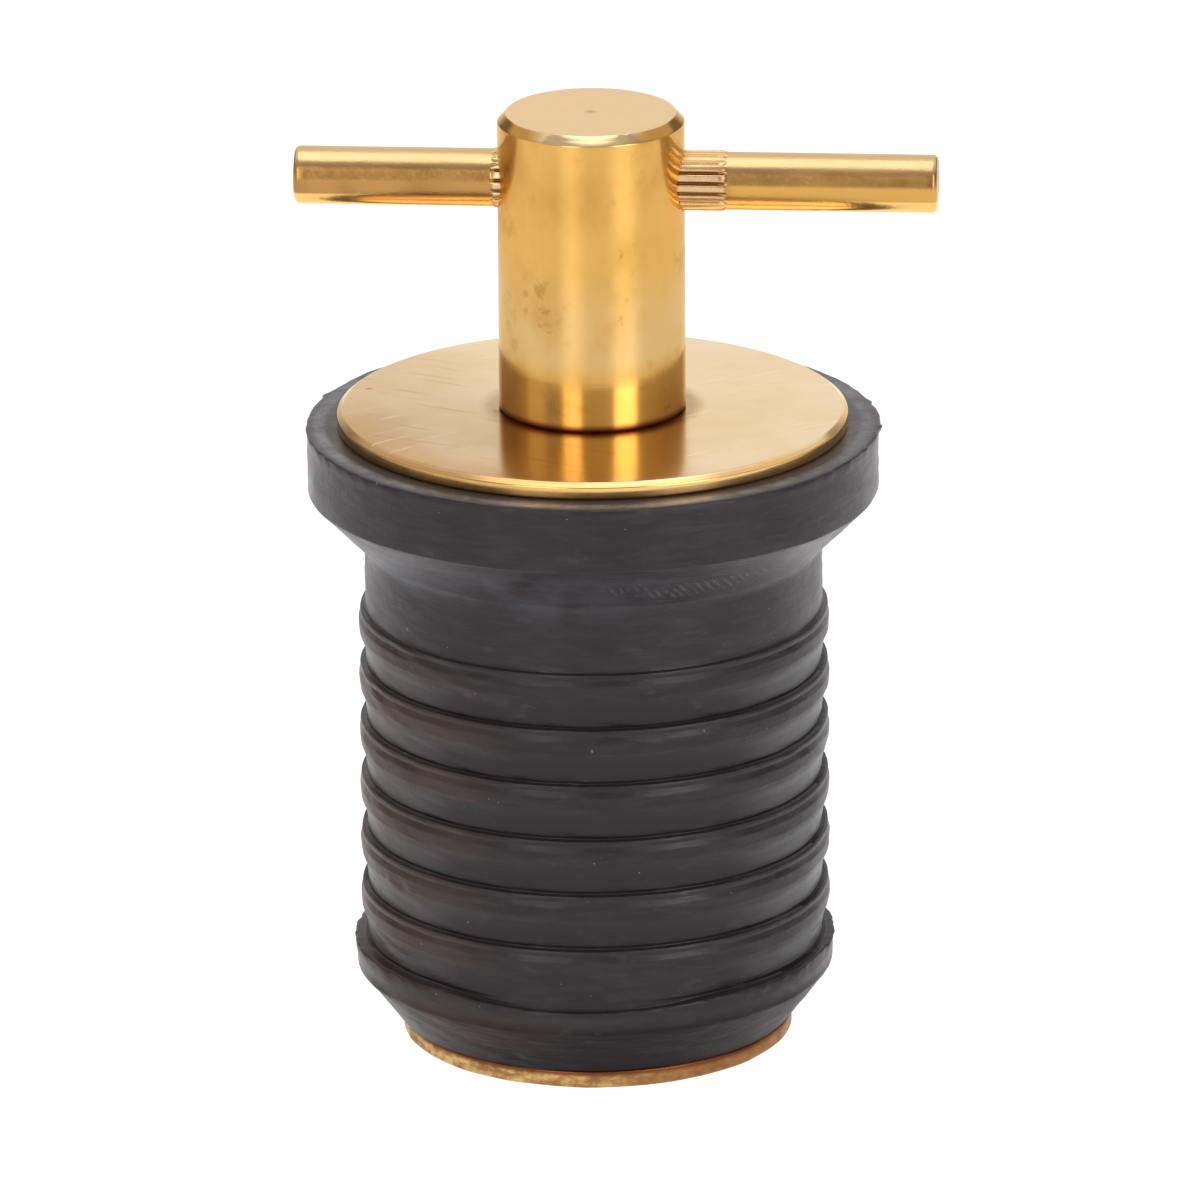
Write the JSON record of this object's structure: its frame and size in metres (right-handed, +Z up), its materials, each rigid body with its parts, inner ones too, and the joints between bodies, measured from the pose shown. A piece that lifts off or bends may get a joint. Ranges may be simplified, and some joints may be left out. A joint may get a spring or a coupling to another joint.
{
  "type": "expanding drain plug",
  "caption": "Boat drain plug: turning the brass T-handle draws a stud and disc up and swells a ribbed rubber sleeve inside a drain tube.",
  "frame": {"origin": "centre of the bottom disc's underside, on which the plug stands", "axes": "+Z up along the stud towards the T-handle, X along the cross pin with its longer arm at +X"},
  "size_m": [0.0347, 0.0308, 0.052],
  "materials": {
    "disc_brass": "sheet brass, tarnished at its edge",
    "stud_brass": "machined thread",
    "sleeve_rubber": "moulded black rubber, matt, with a chalky bloom",
    "washer_brass": "polished, lightly scratched",
    "handle_brass": "turned and polished, with specks of tarnish",
    "pin_brass": "drawn, satin"
  },
  "bodies": {
    "sleeve": {"rubber_sleeve": "sleeve_rubber", "top_washer": "washer_brass"},
    "handle": {"handle_body": "handle_brass", "cross_pin": "pin_brass"},
    "stud": {"draw_stud": "stud_brass", "bottom_disc": "disc_brass"}
  },
  "joints": [
    {"name": "handle_turn", "type": "hinge", "parent": "sleeve", "child": "handle", "pos_m": [0, 0, 0.03546], "axis": [0, 0, -1], "range_deg": [0, 720]},
    {"name": "stud_travel", "type": "slide", "parent": "sleeve", "child": "stud", "axis": [0, 0, 1], "range_m": [0, 0.00254], "deforming": ["rubber_sleeve"]}
  ],
  "couplings": [
    {"joint": "stud_travel", "follows": "handle_turn", "m_per_rad": 0.00020212}
  ]
}
